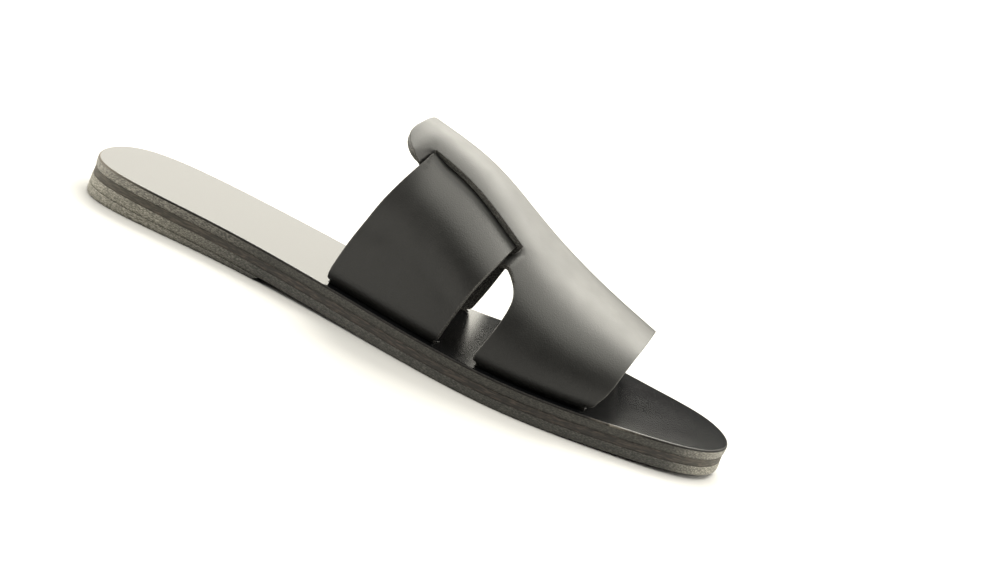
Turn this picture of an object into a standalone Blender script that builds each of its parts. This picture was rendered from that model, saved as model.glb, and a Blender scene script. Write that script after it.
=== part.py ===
"""A flat leather slide sandal for the right foot, of the Greek kind.

Sizes are in millimetres until a mesh is made. Along the shoe, x runs from the back of the heel to the
toe. Across it, y runs from the outer side (minus) to the inner side (plus). The floor is z = 0.
The upper is cut as flat leather pieces: a place on one is given by x and by its girth, the length along
the foot's section from its crest, minus on the outer side. The pieces are then laid on the foot's form.
"""

import math

import bmesh
import bpy
import numpy as np
from mathutils.geometry import delaunay_2d_cdt

MM = 0.001
GAP = 0.3

# Sole: length, the plane it stands on, and its layers
SOLE_LENGTH = 255.0
FLAT_FROM = 152.0
FLAT_TO = 166.0
TOE_SPRING = 1.9
HEEL_PITCH = 0.0285
PITCH_EASE = 25.0
OUTSOLE = 3.2
MIDSOLE = 2.7
INSOLE = 3.6
SOLE_TOP = OUTSOLE + GAP + MIDSOLE + GAP + INSOLE
BREAST_TOP = 78.6
BREAST_FOOT = 76.0
STATIONS = 44

# Upper: one weight of leather, and how its legs stand in the insole
LEATHER = 2.6
LEDGE = 2.7
LEG_TUCK = 1.4
TUCK_HEIGHT = 7.0
SHOULDER = 2.0
TONGUE = 2.6
SLOT_CLEARANCE = 0.35
SLIT_WIDTH = 4.0
SLIT_BACK_TAPER = 7.0
SLIT_FRONT_TAPER = 7.0
SLIT_FRONT_WIDTH = 2.6
SLIT_BACK_SPARE = 0.3
SLIT_FRONT_SPARE = 1.8
PATTERN_STEP = 3.8

# Edge of the sole seen from above: place, x, y
OUTLINE = (
    ("heel back", 0, 1),
    ("heel, inner back", 10, 22),
    ("heel, inner", 42, 30),
    ("waist, inner", 105, 27),
    ("arch, inner", 140, 27),
    ("ball, inner", 182, 42),
    ("big toe", 218, 37),
    ("toe, inner", 242, 27),
    ("tip", 255, 4),
    ("toe, outer", 249, -19),
    ("small toe", 221, -36),
    ("ball, outer", 179, -48),
    ("waist, outer", 123, -40),
    ("heel, outer", 54, -30),
    ("heel, outer back", 8, -26),
)

# Foot's form under the upper: x, crest height, crest y, fullness of the outer and of the inner half
FORM = (
    (98, 75.4, 0.0, 2.25, 2.5),
    (108, 73.5, 0.0, 2.25, 2.5),
    (117, 71.9, 0.0, 2.25, 2.5),
    (138, 66.3, -0.5, 2.25, 2.5),
    (158, 56.2, -1.0, 2.25, 2.4),
    (187, 42.7, -1.5, 2.2, 2.3),
    (214, 34.4, -2.0, 2.2, 2.2),
    (226, 30.9, -2.0, 2.2, 2.2),
)

# Instep strap: girth, x of its back edge, x of its front edge
STRAP = (
    (-77.3, 101.8, 149.1),
    (-57.6, 106.0, 153.0),
    (-38.0, 112.1, 157.6),
    (-19.0, 117.5, 160.0),
    (0.0, 119.0, 160.6),
    (17.0, 116.6, 158.6),
    (37.7, 109.0, 153.0),
    (57.5, 102.6, 147.3),
    (75.5, 98.2, 142.0),
)

# Rear edge of the front piece, from the outer leg round the tab to the inner leg: place, x, girth
REAR_EDGE = (
    ("outer leg", 165.0, -64.5),
    ("outer leg", 166.8, -57.9),
    ("outer hollow", 168.9, -46.5),
    ("outer shoulder", 167.2, -37.6),
    ("outer shoulder", 162.0, -33.4),
    ("outer flange", 156.0, -32.3),
    ("outer flange", 119.8, -25.4),
    ("tab, outer corner", 110.2, -21.0),
    ("tab, outer end", 106.8, -15.8),
    ("tab end", 107.4, -7.0),
    ("tab end", 108.2, 1.0),
    ("tab, inner end", 109.8, 8.5),
    ("tab, inner corner", 112.6, 13.8),
    ("inner flange", 120.0, 18.6),
    ("inner flange", 155.0, 28.0),
    ("inner shoulder", 162.0, 33.3),
    ("inner hollow", 165.4, 43.8),
    ("inner leg", 163.8, 53.0),
    ("inner leg", 162.5, 57.5),
)

# Front edge of the front piece, from the inner leg over the toes to the outer leg: place, x, girth
FRONT_EDGE = (
    ("inner leg", 206.2, 45.0),
    ("inner side", 209.2, 35.0),
    ("inner top", 212.0, 19.5),
    ("crest", 214.0, 0.5),
    ("outer top", 214.7, -15.5),
    ("outer side", 213.6, -32.0),
    ("outer leg", 211.0, -41.3),
)

# Slits beside the bridge: side, x and girth of the bridge's edge at the back, then at the front
SLITS = (
    ("outer", -1, 116.4, -16.4, 160.7, -22.4),
    ("inner", 1, 116.6, 11.0, 158.8, 19.5),
)

# Rounded lower corners of each leg: leg, side, corner radius at the back and at the front
CORNERS = {
    ("band", -1): (1.2, 1.6),
    ("band", 1): (1.2, 1.4),
    ("strap", -1): (1.2, 1.4),
    ("strap", 1): (1.2, 1.2),
}

# Heights and insets of each layer's side, from its bottom to its top, with heights as shares of the layer
INSOLE_SIDE = ((0.0, 0.75), (0.12, 0.3), (0.66, 0.0), (0.86, 0.25), (0.96, 0.7), (1.0, 1.3))
MIDSOLE_SIDE = ((0.0, 0.8), (0.16, 0.35), (0.84, 0.35), (1.0, 0.8))
OUTSOLE_SIDE = ((0.0, 0.9), (0.16, 0.4), (0.86, 0.15), (1.0, 0.6))
HEEL_SIDE = ((0.0, 1.0), (0.2, 0.5), (0.84, 0.2), (1.0, 0.6))


def spline(knots, values, at):
    """Natural cubic spline through a table's rows, read at the places asked for."""
    knots = np.asarray(knots, float)
    values = np.asarray(values, float)
    step = np.diff(knots)
    rise = np.diff(values, axis=0) / (step[:, None] if values.ndim > 1 else step)
    system = np.eye(len(knots))
    right = np.zeros_like(values)
    for i in range(1, len(knots) - 1):
        system[i, i - 1 : i + 2] = step[i - 1], 2 * (step[i - 1] + step[i]), step[i]
        right[i] = 6 * (rise[i] - rise[i - 1])
    bend = np.linalg.solve(system, right)
    at = np.asarray(at, float)
    i = np.clip(np.searchsorted(knots, at) - 1, 0, len(knots) - 2)
    after = (at - knots[i]) / step[i]
    before = 1 - after
    width = step[i] ** 2 / 6
    if values.ndim > 1:
        after, before, width = after[:, None], before[:, None], width[:, None]
    return (
        before * values[i]
        + after * values[i + 1]
        + ((before**3 - before) * bend[i] + (after**3 - after) * bend[i + 1]) * width
    )


def smooth_curve(points, count):
    """Points spread along a smooth curve through the given ones, even in the root of the chord."""
    points = np.asarray(points, float)
    chord = np.hypot(*np.diff(points, axis=0).T)
    knots = np.concatenate([[0], np.cumsum(np.sqrt(chord))])
    return spline(knots, points, np.linspace(0, knots[-1], count))


def sole_edge():
    """The sole's edge as a closed curve: some rows are repeated at both ends so that the join is smooth."""
    repeats = 4
    points = 800
    rows = [(x, y) for _, x, y in OUTLINE]
    wrapped = np.array(rows[-repeats:] + rows + rows[: repeats + 1], float)
    knots = np.concatenate([[0], np.cumsum(np.sqrt(np.hypot(*np.diff(wrapped, axis=0).T)))])
    at = np.linspace(knots[repeats], knots[repeats + len(rows)], points, endpoint=False)
    return spline(knots, wrapped, at)


SOLE_EDGE = sole_edge()


def edge_branches(inset):
    """The outer and the inner half of the sole's edge moved inwards, each from heel to toe."""
    along = np.roll(SOLE_EDGE, -1, axis=0) - np.roll(SOLE_EDGE, 1, axis=0)
    along /= np.linalg.norm(along, axis=1)[:, None]
    curve = SOLE_EDGE + inset * np.column_stack([along[:, 1], -along[:, 0]])
    heel = curve[:, 0].argmin()
    toe = curve[:, 0].argmax()
    inner = np.roll(curve, -heel, axis=0)[: (toe - heel) % len(curve) + 1]
    outer = np.roll(curve, -toe, axis=0)[: (heel - toe) % len(curve) + 1][::-1]
    return outer, inner


def underside(x):
    """Height of the outsole's underside: flat at the ball, rising to the toe and, more, to the heel."""
    ahead = np.clip(x - FLAT_TO, 0, None) / (SOLE_LENGTH - FLAT_TO)
    behind = np.clip(FLAT_FROM - x, 0, None)
    climb = np.where(behind < PITCH_EASE, behind**2 / (2 * PITCH_EASE), behind - PITCH_EASE / 2)
    return TOE_SPRING * ahead**2 + HEEL_PITCH * climb


def make_object(name, mesh, material, parent):
    obj = bpy.data.objects.new(name, mesh)
    bpy.context.collection.objects.link(obj)
    obj.parent = parent
    if material:
        mesh.materials.append(material)
    return obj


def make_material(name, colour, roughness):
    material = bpy.data.materials.new(name)
    material.use_nodes = True
    shader = material.node_tree.nodes["Principled BSDF"]
    shader.inputs["Base Color"].default_value = (*colour, 1.0)
    shader.inputs["Roughness"].default_value = roughness
    shader.inputs["Metallic"].default_value = 0.0
    return material


def finish_mesh(name, bm):
    """Merges the doubled points at the rounded ends, faces the surface outwards and shades it smooth."""
    same_place = 0.005 * MM
    sliver = 0.001 * MM
    sharp = math.radians(35)
    bmesh.ops.remove_doubles(bm, verts=bm.verts, dist=same_place)
    bmesh.ops.dissolve_degenerate(bm, edges=bm.edges, dist=sliver)
    bmesh.ops.recalc_face_normals(bm, faces=bm.faces)
    mesh = bpy.data.meshes.new(name)
    bm.to_mesh(mesh)
    bm.free()
    mesh.shade_smooth()
    mesh.set_sharp_from_angle(angle=sharp)
    return mesh


def layer(name, side, bottom, top, material, parent, breast=None):
    """One layer of the sole: rings round its edge, joined by walls, with strips across its two faces.

    bottom(x) and top(x) give its faces' heights. breast holds the x of a straight front at the bottom and
    the top, for the heel; without it the layer runs round the toe.
    """
    bm = bmesh.new()
    rings = []
    for share, inset in side:
        outer, inner = edge_branches(inset)
        end = outer[-1, 0] if breast is None else breast[0] + share * (breast[1] - breast[0])
        turn = np.pi if breast is None else np.pi / 2
        along = (1 - np.cos(np.linspace(0, turn, STATIONS))) / (1 - math.cos(turn))
        x = outer[0, 0] + (end - outer[0, 0]) * along
        if breast is None:
            x = np.sort(np.append(x, (FLAT_FROM, FLAT_TO)))
        z = bottom(x) + share * (top(x) - bottom(x))
        halves = []
        for branch in (outer, inner):
            y = np.interp(x, branch[:, 0], branch[:, 1])
            halves.append([bm.verts.new(point * MM) for point in np.column_stack([x, y, z])])
        rings.append(halves)
    steps = range(len(x) - 1)
    for lower, upper in zip(rings, rings[1:]):
        for half in (0, 1):
            for i in steps:
                bm.faces.new((lower[half][i], lower[half][i + 1], upper[half][i + 1], upper[half][i]))
        if breast is not None:
            bm.faces.new((lower[0][-1], lower[1][-1], upper[1][-1], upper[0][-1]))
    for outer, inner in (rings[0], rings[-1]):
        for i in steps:
            bm.faces.new((outer[i], outer[i + 1], inner[i + 1], inner[i]))
    return make_object(name, finish_mesh(name, bm), material, parent)


OUTER_FOOT, INNER_FOOT = edge_branches(LEDGE + LEATHER)


def section(x):
    """Section of the foot's form at each x: y, z and girth of points from the outer foot to the inner one.

    Each half is a superellipse from its widest place up to the crest. Below the widest place the leg
    leans in to its slot on a parabola.
    """
    table = np.array(FORM, float)
    crest, middle, outer_full, inner_full = spline(table[:, 0], table[:, 1:], x).T
    foot = underside(x) + SOLE_TOP
    widest = foot + TUCK_HEIGHT
    arch_steps = 120
    leg_steps = 12
    turn = np.linspace(0, np.pi / 2, arch_steps)
    drop = np.linspace(1, 0, leg_steps, endpoint=False)
    halves = []
    for branch, full in ((OUTER_FOOT, outer_full), (INNER_FOOT, inner_full)):
        reach = np.interp(x, branch[:, 0], branch[:, 1]) - middle
        power = 2 / full[:, None]
        y = middle[:, None] + reach[:, None] * np.cos(turn) ** power
        z = widest[:, None] + (crest - widest)[:, None] * np.sin(turn) ** power
        leg_y = (middle + reach)[:, None] - np.sign(reach)[:, None] * LEG_TUCK * drop**2
        leg_z = widest[:, None] - TUCK_HEIGHT * drop
        halves.append((np.hstack([leg_y, y]), np.hstack([leg_z, z])))
    (outer_y, outer_z), (inner_y, inner_z) = halves
    y = np.hstack([outer_y, inner_y[:, -2::-1]])
    z = np.hstack([outer_z, inner_z[:, -2::-1]])
    girth = np.hstack([np.zeros((len(x), 1)), np.cumsum(np.hypot(np.diff(y), np.diff(z)), axis=1)])
    return y, z, girth - girth[:, outer_y.shape[1] - 1, None]


def foot_girth(x, side):
    """Girth at which a leg meets the top of the insole."""
    ends = section(np.atleast_1d(np.asarray(x, float)))[2][:, 0 if side < 0 else -1]
    return ends if np.ndim(x) else ends[0]


def on_form(x, girth):
    """Points of the form. Past a foot they go straight on, into the insole."""
    y, z, measure = section(x)
    points = np.empty((len(x), 3))
    for i, place in enumerate(girth):
        points[i] = x[i], np.interp(place, measure[i], y[i]), np.interp(place, measure[i], z[i])
        for end, inward in ((0, 1), (-1, -2)):
            beyond = (measure[i, end] - place) * (1 if end == 0 else -1)
            if beyond > 0:
                way = np.array([y[i, end] - y[i, inward], z[i, end] - z[i, inward]])
                points[i, 1:] += beyond * way / np.linalg.norm(way)
    return points


def lay(x, girth, lift):
    """Points of a leather piece's inner face, laid a given height outside the form."""
    near = 0.5
    points = on_form(x, girth)
    along = on_form(x + near, girth) - on_form(x - near, girth)
    across = on_form(x, girth + near) - on_form(x, girth - near)
    outward = np.cross(along, across)
    outward /= np.linalg.norm(outward, axis=1)[:, None]
    return points + outward * np.reshape(lift, (-1, 1))


def leather(name, points, faces, thickness, material, parent):
    """A sheet of leather: its inner face, thickened outwards."""
    bm = bmesh.new()
    verts = [bm.verts.new(point * MM) for point in points]
    for face in faces:
        bm.faces.new([verts[i] for i in face])
    mesh = bpy.data.meshes.new(name)
    bm.to_mesh(mesh)
    bm.free()
    obj = make_object(name, mesh, material, parent)
    wall = obj.modifiers.new("leather thickness", "SOLIDIFY")
    wall.thickness = thickness * MM
    wall.offset = 1.0
    wall.use_even_offset = True
    obj.modifiers.new("flat faces", "TRIANGULATE")
    return obj


def boolean(obj, other, operation):
    cut = obj.modifiers.new(operation.lower(), "BOOLEAN")
    cut.operation = operation
    cut.solver = "EXACT"
    cut.object = other
    other.hide_render = True
    other.display_type = "WIRE"


def corner_inset(height, radius):
    """How far a rounded lower corner has drawn in, at a height above the insole."""
    up = np.clip(height - SHOULDER, 0, radius)
    return radius - np.sqrt(radius**2 - (radius - up) ** 2)


def leg_end(leg, side, back, front):
    """Lower end of a front piece's leg, from back to front: round corners and the slot's tongue."""
    back_radius, front_radius = CORNERS[leg, side]
    steps_along = 12
    corner_steps = np.array([1.0, 0.62, 0.3, 0.08, 0.0])
    back_height = SHOULDER + corner_steps * back_radius
    front_height = SHOULDER + corner_steps[::-1] * front_radius
    x = np.concatenate(
        [
            back + corner_inset(back_height, back_radius),
            np.linspace(back + back_radius, front - front_radius, steps_along),
            front - corner_inset(front_height, front_radius),
        ]
    )
    height = np.concatenate([back_height, np.full(steps_along, -TONGUE), front_height])
    return np.column_stack([x, foot_girth(x, side) - side * height])


def slit_edge(side, x):
    """Girth of the bridge's edge at a slit."""
    _, _, back_x, back_girth, front_x, front_girth = next(row for row in SLITS if row[1] == side)
    return back_girth + (x - back_x) * (front_girth - back_girth) / (front_x - back_x)


def slit_width(side, x):
    """Width of a slit: it opens from its back end, and closes to a short round end in front of the strap."""
    _, _, back, _, front, _ = next(row for row in SLITS if row[1] == side)
    opening = np.clip((x - back + SLIT_BACK_SPARE) / SLIT_BACK_TAPER, 0, 1)
    closing = np.clip((front - x) / SLIT_FRONT_TAPER, 0, 1)
    beyond = np.clip((x - front) / SLIT_FRONT_SPARE, 0, 1)
    ahead = SLIT_FRONT_WIDTH + (SLIT_WIDTH - SLIT_FRONT_WIDTH) * closing
    return np.minimum(SLIT_WIDTH * np.sqrt(opening), ahead * np.sqrt(1 - beyond**2))


def slit_loop(side):
    """Outline of a slit: along the bridge's edge and back along its other lip, which lies under the strap."""
    steps = 24
    _, _, back, _, front, _ = next(row for row in SLITS if row[1] == side)
    share = (1 - np.cos(np.linspace(0, np.pi, steps))) / 2
    x = back - SLIT_BACK_SPARE + share * (front + SLIT_FRONT_SPARE - back + SLIT_BACK_SPARE)
    lip = np.column_stack([x, slit_edge(side, x) + side * slit_width(side, x)])
    edge = np.column_stack([x, slit_edge(side, x)])
    return np.vstack([edge, lip[-2:0:-1]])


def inside(points, loop):
    """Which points lie inside a closed outline, by the number of its sides that they are left of."""
    x, y = points.T
    crossed = np.zeros(len(points), bool)
    for (ax, ay), (bx, by) in zip(loop, np.roll(loop, -1, axis=0)):
        if ay != by:
            crossed ^= ((ay > y) != (by > y)) & (x < ax + (y - ay) * (bx - ax) / (by - ay))
    return crossed


def distance(points, loop):
    """Least distance of each point to a closed outline."""
    ends = np.roll(loop, -1, axis=0)
    side = ends - loop
    away = points[:, None] - loop[None]
    share = np.clip((away * side).sum(-1) / (side**2).sum(-1), 0, 1)
    return np.linalg.norm(away - share[..., None] * side, axis=-1).min(axis=1)


def front_piece(material, parent):
    """Front band, bridge and rounded tab, cut from one piece with a slit on each side of the bridge."""
    rear_points, front_points = 120, 40
    rear = smooth_curve([row[1:] for row in REAR_EDGE], rear_points)
    front = smooth_curve([row[1:] for row in FRONT_EDGE], front_points)
    inner_end = leg_end("band", 1, rear[-1, 0], front[0, 0])
    outer_end = leg_end("band", -1, rear[0, 0], front[-1, 0])[::-1]
    outline = np.vstack([rear, inner_end, front, outer_end])
    slits = [slit_loop(side) for _, side, *_ in SLITS]
    loops = [outline, *slits]
    (low_x, low_girth), (high_x, high_girth) = outline.min(axis=0), outline.max(axis=0)
    across = np.arange(low_girth, high_girth, PATTERN_STEP)
    along = np.arange(low_x, high_x, PATTERN_STEP)
    grid = np.stack(np.meshgrid(along, across, indexing="ij"), axis=-1).reshape(-1, 2)
    keep = inside(grid, outline) & (distance(grid, outline) > PATTERN_STEP / 2)
    for slit in slits:
        keep &= ~inside(grid, slit) & (distance(grid, slit) > PATTERN_STEP / 2)
    edges = []
    start = 0
    for loop in loops:
        edges += [(start + i, start + (i + 1) % len(loop)) for i in range(len(loop))]
        start += len(loop)
    flat = np.vstack([*loops, grid[keep]])
    inside_outline = 1
    verts, _, faces, *_ = delaunay_2d_cdt(flat.tolist(), edges, [], inside_outline, 1e-4)
    flat = np.array(verts)
    middles = flat[np.array(faces)].mean(axis=1)
    in_slit = inside(middles, slits[0]) | inside(middles, slits[1])
    faces = [face for face, cut_away in zip(faces, in_slit) if not cut_away]
    points = lay(flat[:, 0], flat[:, 1], np.zeros(len(flat)))
    return leather("upper", points, faces, LEATHER, material, parent)


def strap_lift(x, girth):
    """Height of the instep strap's inner face over the form.

    It lies on the form by the sole, on the flange beside a slit, and under the bridge between the slits.
    It climbs on to the flange over some distance and dives through the slit in an S-curve.
    """
    bite = 0.45
    climb = 16.0
    flange = 9.5
    before_lip = 3.0
    dive_to = -0.2
    over = LEATHER - bite
    under = bite - LEATHER
    lift = np.zeros_like(x)
    for side in (-1, 1):
        out = side * (girth - slit_edge(side, x))
        rise = np.clip((flange + climb - out) / climb, 0, 1)
        dive_from = slit_width(side, x) + before_lip
        dive = np.clip((dive_from - out) / (dive_from - dive_to), 0, 1)
        shape = over * rise**2 * (3 - 2 * rise) + (under - over) * dive**2 * (3 - 2 * dive)
        lift = np.where(side * girth > 0, shape, lift)
    return lift


def strap_edges(girth):
    """x of the instep strap's back and front edges."""
    table = np.array(STRAP, float)
    back, front = spline(table[:, 0], table[:, 1:], np.ravel(girth)).T
    return back.reshape(np.shape(girth)), front.reshape(np.shape(girth))


def strap_meets(share, line):
    """Girth at which the strap's thread, at a share of its width, meets a line whose girth depends on x."""
    rounds = 6
    girth = line(np.mean([row[1:] for row in STRAP]))
    for _ in range(rounds):
        back, front = strap_edges(np.array([girth]))
        girth = line(back[0] + share * (front[0] - back[0]))
    return girth


def shoulder_line(side):
    """The line along which a leg narrows to its tongue, as girth by x."""
    return lambda x: foot_girth(x, side) - side * SHOULDER


def strap_half(side, columns):
    """x and girth of the strap's rows on one side, from the end of its tongue to just under the bridge."""
    near_slit = np.array([22.0, 17, 13, 10, 8, 6.8, 5.6, 4.4, 3.2, 2, 0.6, -1.5, -5])[:, None]
    corner_steps = np.array([0.0, 0.1, 0.35, 0.7, 1.0])
    leg_steps = np.linspace(0, 1, 8)[1:-1, None]
    back_radius, front_radius = CORNERS["strap", side]
    height = np.concatenate([[-TONGUE, 0.0], SHOULDER + corner_steps * front_radius])[:, None]
    shoulder = np.array([strap_meets(share, shoulder_line(side)) for share in columns])
    slit = np.array([strap_meets(share, lambda x: slit_edge(side, x)) for share in columns])
    back, front = strap_edges(shoulder + side * np.minimum(SHOULDER - height, 0))
    back = back + corner_inset(height, back_radius)
    front = front - corner_inset(height, front_radius)
    low_x = back + columns * (front - back)
    low = foot_girth(low_x.ravel(), side).reshape(low_x.shape) - side * height
    near_top = slit + side * near_slit
    high = np.vstack([low[-1] + (near_top[0] - low[-1]) * leg_steps, near_top])
    back, front = strap_edges(high)
    return np.vstack([low_x, back + columns * (front - back)]), np.vstack([low, high])


def grid_faces(rows, across):
    """Four-cornered faces of a grid, turned so that they face out where rows run with the girth."""
    point = np.arange(rows * across).reshape(rows, across)
    corners = [point[:-1, :-1], point[:-1, 1:], point[1:, 1:], point[1:, :-1]]
    return np.stack(corners, axis=-1).reshape(-1, 4)


def instep_strap(material, parent):
    """The strap that runs from slot to slot, over the flanges and under the bridge."""
    columns = np.linspace(0, 1, 10)
    bridge = np.linspace(0, 1, 6)[1:-1, None]
    outer_x, outer_girth = strap_half(-1, columns)
    inner_x, inner_girth = strap_half(1, columns)
    mid_x = outer_x[-1] + bridge * (inner_x[-1] - outer_x[-1])
    mid_girth = outer_girth[-1] + bridge * (inner_girth[-1] - outer_girth[-1])
    x = np.vstack([outer_x, mid_x, inner_x[::-1]])
    girth = np.vstack([outer_girth, mid_girth, inner_girth[::-1]])
    faces = grid_faces(*x.shape)
    x = x.ravel()
    girth = girth.ravel()
    return leather("instep strap", lay(x, girth, strap_lift(x, girth)), faces, LEATHER, material, parent)


def strap_slots(parent):
    """Cutters for the four slots in the insole: each leg's own sheet, grown by the clearance."""
    above, below = 6.0, 9.0
    steps_along = 12
    slots = []
    for side, row in ((-1, 0), (1, -1)):
        ends = [strap_meets(share, shoulder_line(side)) for share in (0, 1)]
        strap_back = strap_edges(np.array(ends[:1]))[0][0]
        strap_front = strap_edges(np.array(ends[1:]))[1][0]
        legs = (("strap", strap_back, strap_front), ("band", REAR_EDGE[row][1], FRONT_EDGE[-1 - row][1]))
        for leg, back, front in legs:
            back_radius, front_radius = CORNERS[leg, side]
            slot_back = back + back_radius - SLOT_CLEARANCE
            slot_front = front - front_radius + SLOT_CLEARANCE
            x = np.linspace(slot_back, slot_front, steps_along)
            height = np.array([-below, 0.0, above])[::side, None]
            girth = foot_girth(x, side) - side * height[::-1]
            points = lay(np.tile(x, len(height)), girth.ravel(), np.full(girth.size, -SLOT_CLEARANCE))
            name = f"slot for {leg} {'inner' if side > 0 else 'outer'}"
            thickness = LEATHER + 2 * SLOT_CLEARANCE
            slots.append(leather(name, points, grid_faces(*girth.shape), thickness, None, parent))
    return slots


def build():
    for obj in list(bpy.data.objects):
        bpy.data.objects.remove(obj)

    black_leather = make_material("black leather", (0.018, 0.018, 0.018), 0.45)
    insole_leather = make_material("smooth black leather", (0.014, 0.014, 0.015), 0.28)
    board = make_material("dyed leather board", (0.03, 0.028, 0.026), 0.7)
    rubber = make_material("black sole rubber", (0.035, 0.035, 0.033), 0.75)

    # The parent sets the origin under the middle of the shoe's box
    centre = (SOLE_EDGE.min(axis=0) + SOLE_EDGE.max(axis=0)) / 2
    middle = bpy.data.objects.new("sandal", None)
    middle.location = (*(-centre * MM), 0)
    bpy.context.collection.objects.link(middle)

    def level(height):
        return lambda x: underside(x) + height

    def floor(x):
        return np.zeros_like(x)

    midsole_from = OUTSOLE + GAP
    insole_from = midsole_from + MIDSOLE + GAP
    layer("heel_lift", HEEL_SIDE, floor, level(-GAP), rubber, middle, breast=(BREAST_FOOT, BREAST_TOP))
    layer("outsole", OUTSOLE_SIDE, level(0), level(OUTSOLE), rubber, middle)
    layer("midsole", MIDSOLE_SIDE, level(midsole_from), level(midsole_from + MIDSOLE), board, middle)
    insole = layer("insole", INSOLE_SIDE, level(insole_from), level(SOLE_TOP), insole_leather, middle)
    for slot in strap_slots(middle):
        boolean(insole, slot, "DIFFERENCE")

    upper = front_piece(black_leather, middle)
    boolean(upper, instep_strap(black_leather, middle), "UNION")


build()
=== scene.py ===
"""Flat black leather slide sandal for the right foot, dressed for its picture.

Lengths are in millimetres until a mesh is made: x runs from the heel to the toe, y to the inner side of
the foot, and z up from the floor.
"""

import bmesh
import bpy
import numpy as np
from mathutils import Matrix, Vector
from mathutils.geometry import delaunay_2d_cdt


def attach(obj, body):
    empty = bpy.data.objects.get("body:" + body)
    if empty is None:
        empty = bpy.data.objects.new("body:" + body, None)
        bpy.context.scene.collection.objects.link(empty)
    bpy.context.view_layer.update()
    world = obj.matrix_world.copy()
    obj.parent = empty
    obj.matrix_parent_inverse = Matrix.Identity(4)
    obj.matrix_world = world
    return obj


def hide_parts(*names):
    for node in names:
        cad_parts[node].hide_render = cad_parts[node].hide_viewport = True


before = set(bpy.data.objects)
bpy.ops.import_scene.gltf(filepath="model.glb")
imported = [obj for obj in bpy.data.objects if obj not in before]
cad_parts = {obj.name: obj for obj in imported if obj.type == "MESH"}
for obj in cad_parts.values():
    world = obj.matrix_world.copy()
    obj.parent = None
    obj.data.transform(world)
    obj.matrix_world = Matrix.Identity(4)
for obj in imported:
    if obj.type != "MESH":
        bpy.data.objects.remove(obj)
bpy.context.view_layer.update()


# Heel lift: a low wedge of black sheet rubber under the back of the outsole. It is glued on and ground
# flush with the sole on a wheel, which leaves fine streaks along the edge and a ragged lower rim.
MM = 0.001
# Gap between the layers of the solids, and how far a layer swells into it so that it doesn't show
GLUE_LINE = 0.3
PRESSED = 0.14
SOLE_LENGTH = 255.0
# Underside: where it lies flat, how high the toe springs, how steeply the heel climbs and over what length
FLAT_FROM, FLAT_TO = 152.0, 166.0
TOE_SPRING = 1.9
HEEL_PITCH, PITCH_EASE = 0.0285, 25.0
# Front face of the heel: x at the floor and at the top
BREAST = (76.0, 78.6)
HEEL_HEIGHT = 5.0
NOTCH_DEPTH = 0.3
SOLE_OUTLINE = (
    ("heel back", 0, 1),
    ("heel, inner back", 10, 22),
    ("heel, inner", 42, 30),
    ("waist, inner", 105, 27),
    ("arch, inner", 140, 27),
    ("ball, inner", 182, 42),
    ("big toe", 218, 37),
    ("toe, inner", 242, 27),
    ("tip", 255, 4),
    ("toe, outer", 249, -19),
    ("small toe", 221, -36),
    ("ball, outer", 179, -48),
    ("waist, outer", 123, -40),
    ("heel, outer", 54, -30),
    ("heel, outer back", 8, -26),
)
# Side of a layer: share of its height, and inset from the sole's edge
HEEL_SIDE = ((0.0, 0.8), (0.15, 0.4), (0.5, 0.25), (0.9, 0.25), (1.0, 0.45))


def spline(knots, values, at):
    """Natural cubic spline: bends at the knots solve one linear system, and between two knots the curve is
    their chord plus a cubic weighted by the two bends."""
    knots = np.asarray(knots, float)
    values = np.asarray(values, float).reshape(len(knots), -1)
    step = np.diff(knots)
    rise = np.diff(values, axis=0) / step[:, None]
    inner = np.arange(1, len(knots) - 1)
    system = np.eye(len(knots))
    system[inner, inner - 1] = step[:-1]
    system[inner, inner] = 2 * (step[:-1] + step[1:])
    system[inner, inner + 1] = step[1:]
    right = np.zeros_like(values)
    right[1:-1] = 6 * np.diff(rise, axis=0)
    bend = np.linalg.solve(system, right)
    at = np.ravel(at)
    i = np.clip(np.searchsorted(knots, at) - 1, 0, len(knots) - 2)
    after = ((at - knots[i]) / step[i])[:, None]
    before = 1 - after
    cubic = (before**3 - before) * bend[i] + (after**3 - after) * bend[i + 1]
    return before * values[i] + after * values[i + 1] + cubic * (step[i] ** 2 / 6)[:, None]


def chord_knots(points):
    """Knots for a curve through points: the running sum of the roots of the chords between them."""
    return np.concatenate([[0], np.cumsum(np.sqrt(np.hypot(*np.diff(points, axis=0).T)))])


def smooth_curve(points, count):
    """Points on a spline through the given ones, at even steps of its knots' measure."""
    points = np.asarray(points, float)
    knots = chord_knots(points)
    return spline(knots, points, np.linspace(0, knots[-1], count))


def sole_edge():
    """The sole's edge as one closed curve: four rows repeat at each end so that the join is smooth."""
    repeats, count = 4, 1200
    rows = [(x, y) for _, x, y in SOLE_OUTLINE]
    wrapped = np.array(rows[-repeats:] + rows + rows[: repeats + 1], float)
    knots = chord_knots(wrapped)
    at = np.linspace(knots[repeats], knots[repeats + len(rows)], count, endpoint=False)
    return spline(knots, wrapped, at)


SOLE_EDGE = sole_edge()
ORIGIN = np.append((SOLE_EDGE.min(axis=0) + SOLE_EDGE.max(axis=0)) / 2, 0.0)


def edge_inward():
    """Unit vectors across the sole's edge, to its inside: the chord of its two neighbours, turned."""
    along = np.roll(SOLE_EDGE, -1, axis=0) - np.roll(SOLE_EDGE, 1, axis=0)
    along /= np.linalg.norm(along, axis=1)[:, None]
    return np.column_stack([along[:, 1], -along[:, 0]])


def edge_halves(inset):
    """The outer and the inner half of the sole's edge, moved inwards, each from heel to toe."""
    curve = SOLE_EDGE + inset * edge_inward()
    heel, toe = curve[:, 0].argmin(), curve[:, 0].argmax()
    inner = np.roll(curve, -heel, axis=0)[: (toe - heel) % len(curve) + 1]
    outer = np.roll(curve, -toe, axis=0)[: (heel - toe) % len(curve) + 1][::-1]
    return outer, inner


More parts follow.
